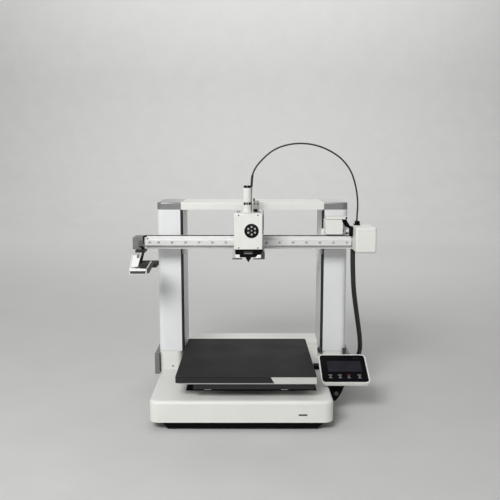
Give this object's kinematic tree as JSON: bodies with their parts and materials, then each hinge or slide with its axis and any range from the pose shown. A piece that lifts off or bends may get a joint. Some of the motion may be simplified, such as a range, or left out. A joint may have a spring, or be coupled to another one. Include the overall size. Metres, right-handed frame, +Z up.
{
  "type": "fdm printer",
  "caption": "Desktop filament printer: sliding bed on a moulded base, portal of columns, lifting cross beam with a sliding toolhead, tilting touch screen.",
  "frame": {"origin": "middle of the machine's footprint on the desk, under its outline without the free cables", "axes": "+X to the machine's right, +Y to its back, +Z up"},
  "size_m": [0.469, 0.422, 0.5198],
  "materials": {
    "white_plastic": "satin moulded",
    "black_plastic": "fine texture",
    "grey_plastic": "matte",
    "rubber": "matte",
    "steel": "ground",
    "cap_metal": "brushed",
    "dark_metal": "black anodised",
    "plate_steel": "textured powder coat",
    "motor_metal": "satin",
    "board": "solder mask",
    "cooler": "satin",
    "brass": "machined",
    "glass_black": "polished cover glass"
  },
  "bodies": {
    "base": {"base_cover": "white_plastic", "base_tray": "black_plastic", "feet": "rubber", "rail_deck": "black_plastic", "rail_bearings": "steel", "frame_motors": "motor_metal", "power_supply": "motor_metal", "mainboard": "board", "power_inlet": "black_plastic", "column_cover_right": "white_plastic", "column_cover_left": "white_plastic", "column_profiles": "dark_metal", "top_beam": "white_plastic", "beam_end_caps": "cap_metal", "z_rods": "steel", "column_foot_blocks": "grey_plastic", "y_belt": "rubber", "screen_arm": "black_plastic", "harness": "rubber"},
    "rocker": {"power_rocker": "black_plastic"},
    "left_screw": {"z_screw_left": "steel"},
    "right_screw": {"z_screw_right": "steel"},
    "y_drive_wheel": {"y_pulley": "steel"},
    "y_idler_wheel": {"y_idler": "steel"},
    "bed": {"bed_carriage": "dark_metal", "bed_rails": "steel", "heatbed": "dark_metal"},
    "plate": {"build_plate": "plate_steel"},
    "gantry": {"x_beam": "cap_metal", "x_rail": "steel", "x_rail_screws": "steel", "z_carriage_left": "white_plastic", "z_carriage_right": "white_plastic", "x_motor": "motor_metal", "motor_box": "white_plastic", "left_end_cap": "grey_plastic", "x_belt": "rubber", "wiper_bracket": "steel", "wiper_pad": "rubber", "toolhead_cable": "rubber"},
    "x_drive_wheel": {"x_pulley": "steel"},
    "x_idler_wheel": {"x_idler": "steel"},
    "toolhead": {"rail_block": "steel", "toolhead_shell": "white_plastic", "extruder_body": "black_plastic", "hotend": "cooler", "nozzle": "brass", "fan_duct": "black_plastic", "side_ducts": "grey_plastic", "filament_hub": "white_plastic", "hub_fittings": "black_plastic", "hub_bracket": "steel"},
    "front_cover": {"toolhead_cover": "white_plastic"},
    "gear": {"extruder_gear": "steel"},
    "pinion": {"motor_pinion": "steel"},
    "lever": {"cutter_lever": "black_plastic"},
    "cooler_fan": {"heatsink_fan": "black_plastic"},
    "blower": {"part_fan": "black_plastic"},
    "screen": {"screen_shell": "white_plastic", "screen_glass": "glass_black"}
  },
  "joints": [
    {"name": "bed_slide", "type": "slide", "parent": "base", "child": "bed", "axis": [0, 1, 0], "range_m": [-0.168, 0.089]},
    {"name": "plate_lift", "type": "slide", "parent": "bed", "child": "plate", "axis": [0, 0, 1], "range_m": [0, 0.06]},
    {"name": "z_slide", "type": "slide", "parent": "base", "child": "gantry", "axis": [0, 0, 1], "range_m": [-0.197, 0.05], "deforming": ["harness"]},
    {"name": "x_slide", "type": "slide", "parent": "gantry", "child": "toolhead", "axis": [1, 0, 0], "range_m": [-0.177, 0.123], "deforming": ["toolhead_cable"]},
    {"name": "cover_pull", "type": "slide", "parent": "toolhead", "child": "front_cover", "axis": [0, -1, 0], "range_m": [0, 0.03]},
    {"name": "extruder_spin", "type": "hinge", "parent": "toolhead", "child": "gear", "pos_m": [-0.002, -0.142, 0.3575], "axis": [0, 1, 0], "continuous": true},
    {"name": "pinion_spin", "type": "hinge", "parent": "toolhead", "child": "pinion", "pos_m": [-0.002, -0.142, 0.34217], "axis": [0, 1, 0], "continuous": true},
    {"name": "lever_press", "type": "hinge", "parent": "toolhead", "child": "lever", "pos_m": [0.0195, -0.13, 0.352], "axis": [0, 1, 0], "range_deg": [-4, 0], "stiffness_Nm_per_rad": 0.4},
    {"name": "cooler_fan_spin", "type": "hinge", "parent": "toolhead", "child": "cooler_fan", "pos_m": [-0.029, -0.118, 0.3365], "axis": [1, 0, 0], "continuous": true},
    {"name": "blower_spin", "type": "hinge", "parent": "toolhead", "child": "blower", "pos_m": [0.013, -0.118, 0.3365], "axis": [1, 0, 0], "continuous": true},
    {"name": "left_screw_spin", "type": "hinge", "parent": "base", "child": "left_screw", "pos_m": [-0.168, 0.015, 0.07], "axis": [0, 0, 1], "continuous": true},
    {"name": "right_screw_spin", "type": "hinge", "parent": "base", "child": "right_screw", "pos_m": [0.168, 0.015, 0.07], "axis": [0, 0, 1], "continuous": true},
    {"name": "y_drive_spin", "type": "hinge", "parent": "base", "child": "y_drive_wheel", "pos_m": [-0.012, 0.16, 0.042], "axis": [1, 0, 0], "continuous": true},
    {"name": "y_idler_spin", "type": "hinge", "parent": "base", "child": "y_idler_wheel", "pos_m": [-0.012, -0.15, 0.042], "axis": [1, 0, 0], "continuous": true},
    {"name": "x_drive_spin", "type": "hinge", "parent": "gantry", "child": "x_drive_wheel", "pos_m": [0.2145, -0.052, 0.331], "axis": [0, 1, 0], "continuous": true},
    {"name": "x_idler_spin", "type": "hinge", "parent": "gantry", "child": "x_idler_wheel", "pos_m": [-0.2095, -0.052, 0.331], "axis": [0, 1, 0], "continuous": true},
    {"name": "screen_tilt", "type": "hinge", "parent": "base", "child": "screen", "pos_m": [0.178, -0.112, 0.064], "axis": [1, 0, 0], "range_deg": [-24, 4]},
    {"name": "rocker_tilt", "type": "hinge", "parent": "base", "child": "rocker", "pos_m": [0.136, 0.205, 0.041], "axis": [1, 0, 0], "range_deg": [0, 10]}
  ],
  "couplings": [
    {"joint": "pinion_spin", "follows": "extruder_spin", "ratio": -3.8333},
    {"joint": "left_screw_spin", "follows": "z_slide", "rad_per_m": 785.4},
    {"joint": "right_screw_spin", "follows": "z_slide", "rad_per_m": 785.4},
    {"joint": "y_drive_spin", "follows": "bed_slide", "rad_per_m": -156.25},
    {"joint": "y_idler_spin", "follows": "bed_slide", "rad_per_m": -156.25},
    {"joint": "x_drive_spin", "follows": "x_slide", "rad_per_m": 156.25},
    {"joint": "x_idler_spin", "follows": "x_slide", "rad_per_m": 156.25}
  ]
}
